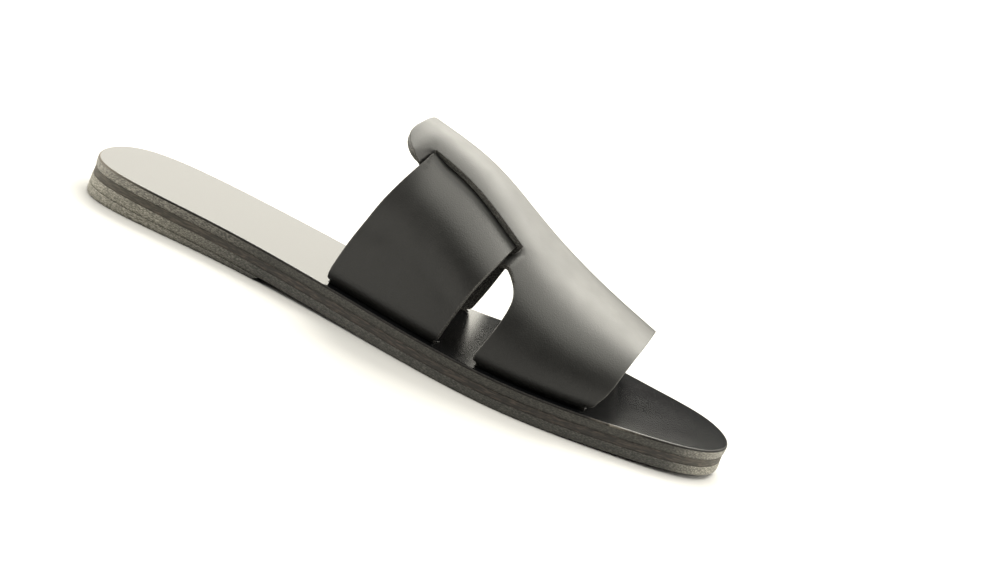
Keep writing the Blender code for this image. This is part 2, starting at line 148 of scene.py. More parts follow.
def underside(x):
    """Height of the outsole's underside: flat at the ball, a parabola up to the toe, and behind the ball a
    short parabola that runs into a straight climb to the heel."""
    ahead = np.clip(x - FLAT_TO, 0, None) / (SOLE_LENGTH - FLAT_TO)
    behind = np.clip(FLAT_FROM - x, 0, None)
    climb = np.where(behind < PITCH_EASE, behind**2 / (2 * PITCH_EASE), behind - PITCH_EASE / 2)
    return TOE_SPRING * ahead**2 + HEEL_PITCH * climb


def grid_faces(rows, across):
    """Four-cornered faces of a grid of points, numbered row by row."""
    index = np.arange(rows * across).reshape(rows, across)
    corners = [index[:-1, :-1], index[:-1, 1:], index[1:, 1:], index[1:, :-1]]
    return np.stack(corners, axis=-1).reshape(-1, 4)


def sole_layer(side, thickness, bottom, top, breast=None, rim_rows=0):
    """Points and faces of one layer of the sole, and which faces are its side (0), top (1) and rim (2).

    Its side is a profile of height and inset carried round the sole's edge. Each row of the profile gives
    an outer and an inner line at stations spaced as 1 - cos t, which crowd at the round ends. A section
    runs up the outer line, across the top, down the inner line and back across the bottom. Steps across
    are spaced as 1 - cos t too.
    """
    stations, rows, across = 150, 16, 14
    share, inset = smooth_curve([(s * thickness, i) for s, i in side], rows).T
    share = share / thickness
    turn = np.pi if breast is None else np.pi / 2
    along = (1 - np.cos(np.linspace(0, turn, stations))) / (1 - np.cos(turn))
    lines = []
    for part, depth in zip(share, inset):
        outer, inner = edge_halves(depth)
        end = outer[-1, 0] if breast is None else breast[0] + part * (breast[1] - breast[0])
        x = outer[0, 0] + (end - outer[0, 0]) * along
        z = bottom(x) + part * (top(x) - bottom(x))
        halves = [np.column_stack([x, np.interp(x, *half.T), z]) for half in (outer, inner)]
        lines.append(halves)
    outer, inner = np.array(lines).swapaxes(0, 1)
    between = (1 - np.cos(np.linspace(0, np.pi, across + 2)))[1:-1, None, None] / 2
    over = outer[-1] + between * (inner[-1] - outer[-1])
    under = inner[0] + between * (outer[0] - inner[0])
    loop = np.concatenate([outer, over, inner[::-1], under]).swapaxes(0, 1)
    index = np.arange(loop.shape[0] * loop.shape[1]).reshape(loop.shape[:2])
    onward = np.roll(index, -1, axis=1)
    faces = np.stack([index[:-1], onward[:-1], onward[1:], index[1:]], axis=-1)
    kind = np.zeros(faces.shape[:2], int)
    kind[:, rows - 1 : rows + across] = 1
    kind[:, rows - 1 - rim_rows : rows - 1] = 2
    kind[:, rows + across : rows + across + rim_rows] = 2
    points, faces, kind = loop.reshape(-1, 3), faces.reshape(-1, 4), kind.ravel()
    if breast is not None:
        spread = np.linspace(0, 1, across + 2)[:, None]
        front = outer[:, -1, None] + spread * (inner[:, -1, None] - outer[:, -1, None])
        front_faces = len(points) + grid_faces(rows, across + 2)
        points = np.vstack([points, front.reshape(-1, 3)])
        faces = np.vstack([faces, front_faces])
        kind = np.append(kind, np.zeros(len(front_faces), int))
    return points, faces, kind


def ragged(points, depth):
    """Bites small notches into a layer's lower rim: a sum of three waves of the running length of the
    sole's edge lifts it, full at the rim and fading up the side and in under the layer. A wave is given by
    its radians to a millimetre, its start and its height."""
    up_side, under_layer = 1.4, 2.5
    waves = ((2.9, 0.0, 1.0), (4.3, 1.1, 1.0), (1.3, 0.4, 0.8))
    parts = 8
    near = np.concatenate([
        ((part[:, None, :2] - SOLE_EDGE) ** 2).sum(axis=-1).argmin(axis=1)
        for part in np.array_split(points, parts)
    ])
    run = np.cumsum(np.hypot(*np.diff(SOLE_EDGE, axis=0, prepend=SOLE_EDGE[:1]).T))[near]
    off = np.abs(((points[:, :2] - SOLE_EDGE[near]) * edge_inward()[near]).sum(axis=1))
    wave = sum(height * np.sin(run * rate + start) for rate, start, height in waves)
    fade = np.clip(1 - points[:, 2] / up_side, 0, 1) * np.clip(1 - off / under_layer, 0, 1)
    lifted = points.copy()
    lifted[:, 2] += depth * np.clip(wave, 0, None) * fade
    return lifted


def make_piece(name, points, faces, finishes, finish_of_face=None, marks=None):
    """Puts points and faces into a mesh, merges the points that meet at seams, and faces it outwards."""
    same_place = 0.002 * MM
    sharp = np.radians(38)
    mesh = bpy.data.meshes.new(name)
    mesh.from_pydata(((points - ORIGIN) * MM).tolist(), [], [list(face) for face in faces])
    for mark, values in (marks or {}).items():
        mesh.attributes.new(mark, "FLOAT", "POINT").data.foreach_set("value", np.asarray(values, "f"))
    for finish in finishes:
        mesh.materials.append(finish)
    if finish_of_face is not None:
        mesh.polygons.foreach_set("material_index", np.asarray(finish_of_face, "i"))
    bm = bmesh.new()
    bm.from_mesh(mesh)
    bmesh.ops.remove_doubles(bm, verts=bm.verts, dist=same_place)
    bmesh.ops.recalc_face_normals(bm, faces=bm.faces)
    bm.to_mesh(mesh)
    bm.free()
    mesh.shade_smooth()
    mesh.set_sharp_from_angle(angle=sharp)
    piece = bpy.data.objects.new(name, mesh)
    bpy.context.collection.objects.link(piece)
    return piece


def linear(colour):
    """Linear red, green, blue and full alpha of an sRGB hex colour."""
    parts = np.array([int(colour[i : i + 2], 16) for i in (1, 3, 5)]) / 255
    parts = np.where(parts <= 0.04045, parts / 12.92, ((parts + 0.055) / 1.055) ** 2.4)
    return (*parts.tolist(), 1.0)


def add_node(tree, kind, inputs=None, **settings):
    """Adds a shader node: settings are its properties, inputs its socket values or what is linked in."""
    node = tree.nodes.new(kind)
    for name, value in settings.items():
        setattr(node, name, value)
    for name, value in (inputs or {}).items():
        if isinstance(value, bpy.types.NodeSocket):
            tree.links.new(value, node.inputs[name])
        else:
            node.inputs[name].default_value = value
    return node


def per_mm(*sizes):
    """Mapping scale that makes one unit of a pattern the given sizes in millimetres."""
    return tuple(1 / (size * MM) for size in sizes)


def new_finish(name):
    """A new material with its node tree, its shader, and the place on the piece, which patterns follow."""
    finish = bpy.data.materials.new(name)
    finish.use_nodes = True
    tree = finish.node_tree
    place = add_node(tree, "ShaderNodeTexCoord").outputs["Object"]
    return finish, tree, tree.nodes["Principled BSDF"], place


def noise(tree, place, scale, detail):
    """Cloudy noise at a scale, with finer layers by its detail."""
    inputs = {"Vector": place, "Scale": scale, "Detail": detail}
    return add_node(tree, "ShaderNodeTexNoise", inputs).outputs[0]


def ramp(tree, value, low, high, at_low, at_high):
    """Straight ramp between two values of a pattern, level beyond them."""
    ends = {0: value, 1: low, 2: high, 3: at_low, 4: at_high}
    return add_node(tree, "ShaderNodeMapRange", ends).outputs[0]


def blend(tree, share, first, second):
    """Mix of two colours by a share of the second. Each is a hex colour or a socket."""
    first, second = (linear(part) if isinstance(part, str) else part for part in (first, second))
    return add_node(tree, "ShaderNodeMix", {0: share, 6: first, 7: second}, data_type="RGBA").outputs[2]


def emboss(tree, shader, height, strength, depth):
    """Raises a surface by a pattern, to a depth in millimetres."""
    inputs = {"Height": height, "Strength": strength, "Distance": depth * MM}
    tree.links.new(add_node(tree, "ShaderNodeBump", inputs).outputs[0], shader.inputs["Normal"])


def painted_end_light(tree, place):
    """Painted highlight on the edge's ends: straight ramps along the sole, high at the heel, low in the
    waist and high again at the tip of the toe, where the round ends catch the light."""
    heel_lit, heel_unlit = -0.1, -0.05
    toe_unlit, toe_lit = 0.113, 0.126
    along = add_node(tree, "ShaderNodeSeparateXYZ", {0: place}).outputs[0]
    heel = ramp(tree, along, heel_lit, heel_unlit, 1.0, 0.0)
    toe = ramp(tree, along, toe_unlit, toe_lit, 0.0, 1.0)
    return add_node(tree, "ShaderNodeMath", {0: heel, 1: toe}, operation="MAXIMUM").outputs[0]


def streaked_edge_lit_ends(name, streak, detail, pale, dyed, lit_ends, relief, roughness):
    """A layer's dyed and ground edge: noise, stretched to streaks, blends two tones, which are the dyed pair
    or, towards the heel and the toe, the lighter second pair, a painted highlight of light falling on the
    ends.
    Pale is where the noise turns to the second tone and how far, and relief the strength and depth of the
    bump."""
    finish, tree, shader, place = new_finish(name)
    stretched = add_node(tree, "ShaderNodeMapping", {"Vector": place, "Scale": per_mm(*streak)}).outputs[0]
    streaks = noise(tree, stretched, 1.0, detail)
    low, high, most = pale
    share = ramp(tree, streaks, low, high, 0.0, most)
    colour = blend(tree, painted_end_light(tree, place), blend(tree, share, *dyed), blend(tree, share, *lit_ends))
    tree.links.new(colour, shader.inputs["Base Color"])
    emboss(tree, shader, streaks, *relief)
    shader.inputs["Roughness"].default_value = roughness
    return finish


# Vulcanised black rubber, ground on a wheel: matt, with pale dust left in short streaks along the edge
ground_rubber = streaked_edge_lit_ends(
    "vulcanised rubber, ground",
    streak=(0.9, 0.9, 0.32),
    detail=3.0,
    pale=(0.42, 0.72, 1.0),
    dyed=("#2f2f2c", "#5b5a54"),
    # Lighter pair for the heel and the toe ends: a painted highlight where light falls on them
    lit_ends=("#646259", "#b4b0a3"),
    relief=(0.6, 0.25),
    roughness=0.62,
)
ground_rubber.node_tree.nodes["Principled BSDF"].inputs["IOR"].default_value = 1.52

points, faces, _ = sole_layer(
    HEEL_SIDE,
    HEEL_HEIGHT,
    lambda x: 0 * x,
    lambda x: underside(x) - GLUE_LINE + PRESSED,
    breast=BREAST,
)
heel_lift = make_piece("heel_lift_rubber", ragged(points, NOTCH_DEPTH), faces, [ground_rubber])
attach(heel_lift, "root")
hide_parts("heel_lift")


# Outsole: the walking sole, one sheet of black rubber from toe to heel, cut with the other layers and
# ground on the same wheel.
OUTSOLE = 3.2
OUTSOLE_SIDE = ((0.0, 0.5), (0.1, 0.3), (0.5, 0.2), (0.92, 0.25), (1.0, 0.4))

points, faces, _ = sole_layer(OUTSOLE_SIDE, OUTSOLE, underside, lambda x: underside(x) + OUTSOLE + PRESSED)
outsole = make_piece("outsole_sheet", points, faces, [ground_rubber])
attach(outsole, "root")
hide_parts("outsole")


# Midsole: a thin layer of pressed leather board between the outsole and the insole. Its edge is dyed
# black, and the brown of the board shows through where the dye is thin.
MIDSOLE = 2.7
MIDSOLE_FROM = OUTSOLE + GLUE_LINE
MIDSOLE_SIDE = ((0.0, 0.55), (0.08, 0.4), (0.5, 0.35), (0.92, 0.4), (1.0, 0.55))

# Pressed leather board with a dyed edge: matt and fibrous, black with brown streaks
dyed_board = streaked_edge_lit_ends(
    "pressed leather board, dyed edge",
    streak=(3.5, 3.5, 0.5),
    detail=4.0,
    pale=(0.45, 0.75, 0.8),
    dyed=("#2d2b28", "#5c5149"),
    # Lighter pair for the heel and the toe ends: a painted highlight where light falls on them
    lit_ends=("#3e3b34", "#6a6257"),
    relief=(0.5, 0.2),
    roughness=0.7,
)

points, faces, _ = sole_layer(
    MIDSOLE_SIDE,
    MIDSOLE,
    lambda x: underside(x) + MIDSOLE_FROM - PRESSED,
    lambda x: underside(x) + MIDSOLE_FROM + MIDSOLE + PRESSED,
)
midsole = make_piece("midsole_layer", points, faces, [dyed_board])
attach(midsole, "root")
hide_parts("midsole")


# Front band: one cut piece of 2.6 mm black leather. It crosses the toes, runs back over the instep as a
# bridge and ends in a rounded tab, with a lengthwise slit on each side of the bridge for the strap.
LEATHER = 2.6
# Rim of the insole left free outside the straps
LEDGE = 2.7
# Over the insole: where the form is widest and where its legs start to fold in, and how round the fold is
LEG_HEIGHT, FOLD_HEIGHT, FOLD_ROUND = 7.0, 4.8, 0.8
# Tables by side have -1 for the outer side and 1 for the inner one. A leg's corners start at its shoulder.
FOLD_SLANT = {-1: 1.0, 1: 0.3}
SHOULDER = {-1: 4.4, 1: 1.0}
# How far a strap's end goes down into its slot
TONGUE = 1.2
INSOLE = 3.6
INSOLE_FROM = MIDSOLE_FROM + MIDSOLE + GLUE_LINE
SOLE_TOP = INSOLE_FROM + INSOLE
# A slit narrows over its taper at both ends, which lie a spare length from the ends in its table
SLIT_WIDTH, SLIT_FRONT_WIDTH = 4.0, 2.6
SLIT_TAPER = 7.0
SLIT_BACK_SPARE, SLIT_FRONT_SPARE = -1.6, 0.6
# How far the strap lies below the form under the bridge: its own thickness and a hair
STRAP_DEPTH = LEATHER + 0.02
EDGE_ROUND = 0.3
# Rows of points that follow a cut edge, by their distance from it
EDGE_ROWS = (0.05, 0.13, 0.3, 0.6, 1.1)
# Foot's form: x, height of the crest, y of the crest, fullness of the outer and of the inner half
FORM = (
    (98, 75.4, 0.0, 2.25, 2.5),
    (108, 73.5, 0.0, 2.25, 2.5),
    (117, 71.9, 0.0, 2.25, 2.5),
    (138, 66.3, -0.5, 2.25, 2.5),
    (158, 56.2, -1.0, 2.25, 2.4),
    (187, 42.7, -1.5, 2.2, 2.3),
    (214, 34.4, -2.0, 2.2, 2.2),
    (226, 30.9, -2.0, 2.2, 2.2),
)
# Instep strap: girth, x of its back edge, x of its front edge
STRAP = (
    (-77.3, 101.8, 149.1),
    (-57.6, 106.0, 153.0),
    (-38.0, 112.1, 157.6),
    (-19.0, 117.5, 160.0),
    (0.0, 119.0, 160.6),
    (17.0, 116.6, 158.6),
    (37.7, 109.0, 153.0),
    (57.5, 102.6, 147.3),
    (75.5, 98.2, 142.0),
)
# Edges of the front piece in the flat: x and girth
REAR_EDGE = (
    ("outer leg", 165.0, -64.5),
    ("outer leg", 166.8, -57.9),
    ("outer hollow", 168.9, -46.5),
    ("outer shoulder", 167.2, -37.6),
    ("outer shoulder", 162.0, -33.4),
    ("outer flange", 156.0, -32.3),
    ("outer flange", 119.8, -25.4),
    ("tab, outer corner", 110.2, -21.4),
    ("tab, outer end", 106.6, -15.9),
    ("tab end", 107.4, -7.0),
    ("tab end", 108.2, 1.0),
    ("tab, inner end", 109.8, 8.5),
    ("tab, inner corner", 112.6, 13.8),
    ("inner flange", 120.0, 18.6),
    ("inner flange", 155.0, 28.0),
    ("inner shoulder", 162.0, 33.3),
    ("inner hollow", 165.4, 43.8),
    ("inner leg", 163.8, 53.0),
    ("inner leg", 162.5, 57.5),
)
FRONT_EDGE = (
    ("inner leg", 203.8, 49.5),
    ("inner leg", 205.2, 45.0),
    ("inner side", 208.8, 35.0),
    ("inner top", 212.0, 19.5),
    ("crest", 214.0, 0.5),
    ("outer top", 214.7, -15.5),
    ("outer side", 213.6, -32.0),
    ("outer leg", 211.9, -39.0),
    ("outer corner", 210.2, -43.0),
    ("outer corner", 208.6, -45.4),
    ("outer corner", 206.8, -47.0),
)
# Bridge's edge at each slit: x and girth at the back end, x and girth at the front end
SLITS = {-1: (116.4, -16.4, 160.7, -22.4), 1: (116.6, 11.0, 158.8, 19.5)}
# Radii of a leg's back and front corner
BAND_CORNERS = {-1: (1.2, 0.5), 1: (1.2, 1.4)}
OUTER_FOOT, INNER_FOOT = edge_halves(LEDGE + LEATHER)


def foot_section(x):
    """Section of the foot's form at each x: y, z and girth of points from the outer to the inner foot.

    Each half is a superellipse from its widest place up to the crest. Below that the leg folds in to its
    slot, on a short parabola that runs into a slant. Girth is the running length from the crest, minus on
    the outer side.
    """
    arc_steps, leg_steps = 120, 28
    table = np.array(FORM)
    crest, middle, outer_full, inner_full = spline(table[:, 0], table[:, 1:], x).T
    widest = underside(x) + SOLE_TOP + LEG_HEIGHT
    turn = np.linspace(0, np.pi / 2, arc_steps)
    drop = np.linspace(1, 0, leg_steps, endpoint=False)
    below = FOLD_HEIGHT - LEG_HEIGHT * (1 - drop)
    curve = np.clip(below + FOLD_ROUND, 0, None) ** 2 / (4 * FOLD_ROUND)
    tuck = np.where(below < FOLD_ROUND, curve, below)
    halves = []
    for side, half, full in ((-1, OUTER_FOOT, outer_full), (1, INNER_FOOT, inner_full)):
        reach = np.interp(x, *half.T) - middle
        power = 2 / full[:, None]
        y = middle[:, None] + reach[:, None] * np.cos(turn) ** power
        z = widest[:, None] + (crest - widest)[:, None] * np.sin(turn) ** power
        leg_y = (middle + reach)[:, None] - side * FOLD_SLANT[side] * tuck
        leg_z = widest[:, None] - LEG_HEIGHT * drop
        halves.append((np.hstack([leg_y, y]), np.hstack([leg_z, z])))
    (outer_y, outer_z), (inner_y, inner_z) = halves
    y = np.hstack([outer_y, inner_y[:, -2::-1]])
    z = np.hstack([outer_z, inner_z[:, -2::-1]])
    girth = np.cumsum(np.hypot(np.diff(y, prepend=y[:, :1]), np.diff(z, prepend=z[:, :1])), axis=1)
    return y, z, girth - girth[:, outer_y.shape[1] - 1, None]


def foot_girth(x, side):
    """Girth at which a leg meets the top of the insole: the first or the last point of the section."""
    return foot_section(np.ravel(x))[2][:, 0 if side < 0 else -1].reshape(np.shape(x))


def on_form(x, girth):
    """Points of the form, straight between section points. Past a foot the last stretch runs on."""
    y, z, measure = foot_section(x)
    i = np.clip((measure < girth[:, None]).sum(axis=1) - 1, 0, measure.shape[1] - 2)
    row = np.arange(len(x))
    share = (girth - measure[row, i]) / (measure[row, i + 1] - measure[row, i])
    ends = [values[row, i] + share * (values[row, i + 1] - values[row, i]) for values in (y, z)]
    return np.column_stack([x, *ends])


def lay(x, girth, lift):
    """Points a given height off the form, along the cross product of its two tangents."""
    near = 0.5
    along = on_form(x + near, girth) - on_form(x - near, girth)
    across = on_form(x, girth + near) - on_form(x, girth - near)
    outward = np.cross(along, across)
    outward /= np.linalg.norm(outward, axis=1)[:, None]
    return on_form(x, girth) + outward * np.reshape(lift, (-1, 1))


def slit_edge(side, x):
    """Girth of the bridge's edge at a slit: a straight line in the flat pattern."""
    back_x, back_girth, front_x, front_girth = SLITS[side]
    return back_girth + (x - back_x) * (front_girth - back_girth) / (front_x - back_x)


def past_slit(x, girth):
    """How far a place lies outside the bridge's edge, along the girth of its own side."""
    return np.where(girth < 0, slit_edge(-1, x) - girth, girth - slit_edge(1, x))


def strap_edges(girth):
    """x of the instep strap's back and front edges at a girth, by a spline through its rows."""
    table = np.array(STRAP)
    back, front = spline(table[:, 0], table[:, 1:], girth).T
    return back.reshape(np.shape(girth)), front.reshape(np.shape(girth))


def ease(value):
    """Smooth step from 0 to 1: three squares less two cubes."""
    value = np.clip(value, 0, 1)
    return value**2 * (3 - 2 * value)


def corner_inset(height, shoulder, radius):
    """How far a rounded corner has drawn in, by a quarter circle that starts at the shoulder."""
    up = np.clip(height - shoulder, 0, radius)
    return radius - np.sqrt(radius**2 - (radius - up) ** 2)


def leg_end(side, back, front):
    """Lower end of a band's leg in the pattern, from back to front: round corners and the slot's tongue."""
    tongue_steps = 40
    back_radius, front_radius = BAND_CORNERS[side]
    corner = np.array([1.0, 0.8, 0.6, 0.42, 0.28, 0.16, 0.07, 0.02, 0.0])
    shoulder = SHOULDER[side]
    back_height = shoulder + corner * back_radius
    front_height = shoulder + corner[::-1] * front_radius
    straight = np.linspace(back + back_radius, front - front_radius, tongue_steps)
    x = np.concatenate([
        back + corner_inset(back_height, shoulder, back_radius),
        straight,
        front - corner_inset(front_height, shoulder, front_radius),
    ])
    height = np.concatenate([back_height, np.full(len(straight), -TONGUE), front_height])
    return np.column_stack([x, foot_girth(x, side) - side * height])


def slit_width(side, x):
    """Width of a slit: a root of the distance from its back end, and at the front a quarter ellipse that
    closes it just past the strap."""
    back, _, front, _ = SLITS[side]
    opening = np.clip((x - back + SLIT_BACK_SPARE) / SLIT_TAPER, 0, 1)
    closing = np.clip((front - x) / SLIT_TAPER, 0, 1)
    beyond = np.clip((x - front) / SLIT_FRONT_SPARE, 0, 1)
    ahead = SLIT_FRONT_WIDTH + (SLIT_WIDTH - SLIT_FRONT_WIDTH) * closing
    return np.minimum(SLIT_WIDTH * np.sqrt(opening), ahead * np.sqrt(1 - beyond**2))


def slit_loop(side):
    """Outline of a slit: along the bridge's edge, and back along its other lip under the strap."""
    steps = 70
    back, front = SLITS[side][0] - SLIT_BACK_SPARE, SLITS[side][2] + SLIT_FRONT_SPARE
    x = back + (1 - np.cos(np.linspace(0, np.pi, steps))) / 2 * (front - back)
    edge = np.column_stack([x, slit_edge(side, x)])
    lip = np.column_stack([x, slit_edge(side, x) + side * slit_width(side, x)])
    return np.vstack([edge, lip[-2:0:-1]])


def inside(points, loop):
    """Which points lie inside a closed outline: those left of an odd number of its sides."""
    (ax, ay), (bx, by) = loop.T, np.roll(loop, -1, axis=0).T
    x, y = points[:, :1], points[:, 1:]
    rise = np.where(by == ay, 1.0, by - ay)
    crossed = ((ay > y) != (by > y)) & (x < ax + (y - ay) * (bx - ax) / rise)
    return crossed.sum(axis=1) % 2 == 1


def distance(points, loop):
    """Least distance of each point to a closed outline, side by side."""
    side = np.roll(loop, -1, axis=0) - loop
    away = points[:, None] - loop
    share = np.clip((away * side).sum(axis=-1) / (side**2).sum(axis=-1), 0, 1)
    return np.linalg.norm(away - share[..., None] * side, axis=-1).min(axis=1)


def sheet(x, girth, low, high, faces, lean=0.0):
    """Closed sheet between two heights over the form, with a wall along every side that one face uses. Its
    lower face is moved along the girth by the lean."""
    points = np.vstack([lay(x, girth, high), lay(x, girth + lean, low)])
    sides = np.stack([faces, np.roll(faces, -1, axis=1)], axis=-1).reshape(-1, 2)
    _, first, used = np.unique(np.sort(sides, axis=1), axis=0, return_index=True, return_counts=True)
    start, end = sides[first[used == 1]].T
    wall = np.column_stack([end, start, start + len(x), end + len(x)])
    return points, faces.tolist() + (faces[:, ::-1] + len(x)).tolist() + wall.tolist()


def cut_leather(name, x, girth, lift, to_edge, faces, finish, lean=0.0):
    """A cut piece of leather: its two faces draw together near a cut edge on a quarter circle. It is marked
    with how near the edge is and which face is its flesh side."""
    raw_margin = 0.4
    drawn_in = corner_inset(to_edge, 0.0, EDGE_ROUND)
    points, faces = sheet(x, girth, lift + drawn_in, lift + LEATHER - drawn_in, faces, lean)
    edge = np.clip(1 - to_edge / raw_margin, 0, 1)
    flesh = np.repeat([0.0, 1.0], len(x))
    return make_piece(name, points, faces, [finish], marks={"cut_edge": np.tile(edge, 2), "flesh": flesh})


# Drum-dyed calf, pressed smooth: black and satin, with fine pores, a felted flesh side and raw cut edges
strap_leather, tree, shader, place = new_finish("drum-dyed calf leather")
edge = add_node(tree, "ShaderNodeAttribute", attribute_name="cut_edge").outputs["Fac"]
flesh = add_node(tree, "ShaderNodeAttribute", attribute_name="flesh").outputs["Fac"]
raw = add_node(tree, "ShaderNodeMath", {0: edge, 1: flesh}, operation="MAXIMUM").outputs[0]
# Grain cells are near 0.4 mm in the hide and are drawn at 0.5 mm so that they show
cell_scale = {"Vector": place, "Scale": per_mm(0.5)[0]}
cells = add_node(tree, "ShaderNodeTexVoronoi", cell_scale, feature="SMOOTH_F1").outputs[0]
nap = noise(tree, place, per_mm(0.35)[0], 2.0)
cloud = noise(tree, place, per_mm(9)[0], 4.0)
grain_colour = blend(tree, ramp(tree, cloud, 0.3, 0.7, 0.0, 1.0), "#151514", "#1b1b1a")
raw_colour = blend(tree, ramp(tree, nap, 0.45, 0.7, 0.0, 1.0), "#2b2a28", "#767570")
satin = ramp(tree, cloud, 0.3, 0.7, 0.43, 0.49)
fibrous = ramp(tree, flesh, 0.0, 1.0, 0.36, 0.85)
rough = add_node(tree, "ShaderNodeMix", {0: raw, 2: satin, 3: fibrous}).outputs[0]
pores = add_node(tree, "ShaderNodeMath", {0: cells, 1: nap}, operation="ADD").outputs[0]
tree.links.new(blend(tree, raw, grain_colour, raw_colour), shader.inputs["Base Color"])
tree.links.new(rough, shader.inputs["Roughness"])
emboss(tree, shader, pores, 0.3, 0.1)
shader.inputs["IOR"].default_value = 1.5


def front_pattern():
    """Flat pattern of the front piece: points, triangles and each point's distance to a cut edge.

    Its outline and two slits are closed curves. Rows of points follow them at small distances, where the
    edge is rounded, and a staggered grid fills the rest. The triangles are a constrained Delaunay net.
    """
    grid_step, row_share, clear_share = 1.25, 0.87, 0.6
    slack, same_spot = 0.94, 1e-5
    rear_steps, front_steps = 330, 110
    rear = smooth_curve([row[1:] for row in REAR_EDGE], rear_steps)
    front = smooth_curve([row[1:] for row in FRONT_EDGE], front_steps)
    inner_end = leg_end(1, rear[-1, 0], front[0, 0])
    outer_end = leg_end(-1, rear[0, 0], front[-1, 0])[::-1]
    loops = [np.vstack([rear[:-1], inner_end, front[1:-1], outer_end]), slit_loop(-1), slit_loop(1)]
    rims = []
    for loop, way in zip(loops, (1, -1, -1)):
        chord = np.roll(loop, -1, axis=0) - np.roll(loop, 1, axis=0)
        inward = np.column_stack([-chord[:, 1], chord[:, 0]]) / np.linalg.norm(chord, axis=1)[:, None]
        turn = np.sign((loop[:, 0] * chord[:, 1] - loop[:, 1] * chord[:, 0]).sum())
        rims += [(loop + way * turn * inward * depth, depth) for depth in EDGE_ROWS]
    low, high = loops[0].min(axis=0), loops[0].max(axis=0)
    along = np.arange(low[0], high[0], grid_step)
    across = np.arange(low[1], high[1], grid_step * row_share)
    grid = np.stack(np.meshgrid(along, across), axis=-1)
    grid[::2, :, 0] += grid_step / 2
    rims.append((grid.reshape(-1, 2), EDGE_ROWS[-1] + clear_share * grid_step))
    kept = []
    for spots, depth in rims:
        fits = inside(spots, loops[0]) & ~inside(spots, loops[1]) & ~inside(spots, loops[2])
        spots = spots[fits]
        gap = np.min([distance(spots, loop) for loop in loops], axis=0)
        kept.append(spots[gap > slack * depth])
    starts = np.cumsum([0] + [len(loop) for loop in loops])
    sides = np.concatenate([
        np.column_stack([np.arange(len(loop)), np.roll(np.arange(len(loop)), -1)]) + start
        for loop, start in zip(loops, starts)
    ])
    inside_outline = 1
    flat = np.vstack(loops + kept)
    verts, _, faces, *_ = delaunay_2d_cdt(flat.tolist(), sides.tolist(), [], inside_outline, same_spot)
    flat, faces = np.array(verts), np.array(faces)
    middles = flat[faces].mean(axis=1)
    faces = faces[~inside(middles, loops[1]) & ~inside(middles, loops[2])]
    gap = np.min([distance(flat, loop) for loop in loops], axis=0)
    return flat[:, 0], flat[:, 1], faces, gap


def strap_lift(x, girth):
    """Height of the strap's inner face over the form: nothing by the sole, a little over the flange, and
    its own depth below the form under the bridge, but less at the slit's back end, by a root of the
    distance from it. It eases up to the flange and eases down into the slit."""
    climb, flange, past_edge = 14.0, 24.0, 2.0
    over, end_depth, closed = 1.5, 0.3, 1.2
    from_end = x - closed - np.where(girth < 0, SLITS[-1][0], SLITS[1][0])
    under = -end_depth - (STRAP_DEPTH - end_depth) * np.sqrt(np.clip(from_end / SLIT_TAPER, 0, 1))
    out = past_slit(x, girth)
    rise = ease((flange + climb - out) / climb)
    dive = ease((flange - out) / (flange + past_edge))
    return over * rise + (under - over) * dive


def pressed(x, girth):
    """How far the strap presses the flange beside a slit down: its own depth there, easing out past its
    edges and towards the bridge."""
    behind, ahead = 1.2, 3.6
    flange, fade = 32.0, 16.0
    back, front = strap_edges(girth)
    under_strap = ease((x - back + behind) / behind) * ease((front + ahead - x) / ahead)
    out = past_slit(x, girth)
    depth = np.clip(STRAP_DEPTH - strap_lift(x, girth), 0, None)
    return depth * under_strap * ease(out / SLIT_WIDTH) * ease((flange - out) / fade)


def tab_curl(x, girth):
    """How far the tab's outer corner stands off the form: the square of the girth past its middle, easing
    in towards the tab's end."""
    height, middle, reach, most = 2.8, 7.0, 13.0, 1.3
    curl_from, curl_ease = 117.0, 6.0
    past_middle = np.clip((-girth - middle) / reach, 0, most)
    return height * past_middle**2 * ease((curl_from - x) / curl_ease)


x, girth, faces, to_edge = front_pattern()
lift = tab_curl(x, girth) - pressed(x, girth)
# The curl turns the tab's cut edge with it: leather times the curl's rise over one millimetre of girth
half = 0.5
lean = LEATHER * (tab_curl(x, girth + half) - tab_curl(x, girth - half))
front_band = cut_leather("front_band", x, girth, lift, to_edge, faces, strap_leather, lean)
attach(front_band, "root")
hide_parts("upper")


# Instep strap: a second cut piece of the same leather. It rises from the insole, lies on the flange outside
# a slit, dives through the slit under the bridge, and comes up through the other slit.
STRAP_CORNERS = {-1: (1.2, 1.4), 1: (1.2, 1.2)}


def strap_meets(share, line):
    """Girth at which threads at these shares of the strap's width meet a line given as girth by x. A few
    rounds are enough: the strap's edges are read at the last girth, and the line at the x they give."""
    rounds = 6
    girth = line(np.full(len(share), np.mean([row[1:] for row in STRAP])))
    for _ in range(rounds):
        back, front = strap_edges(girth)
        girth = line(back + share * (front - back))
    return girth


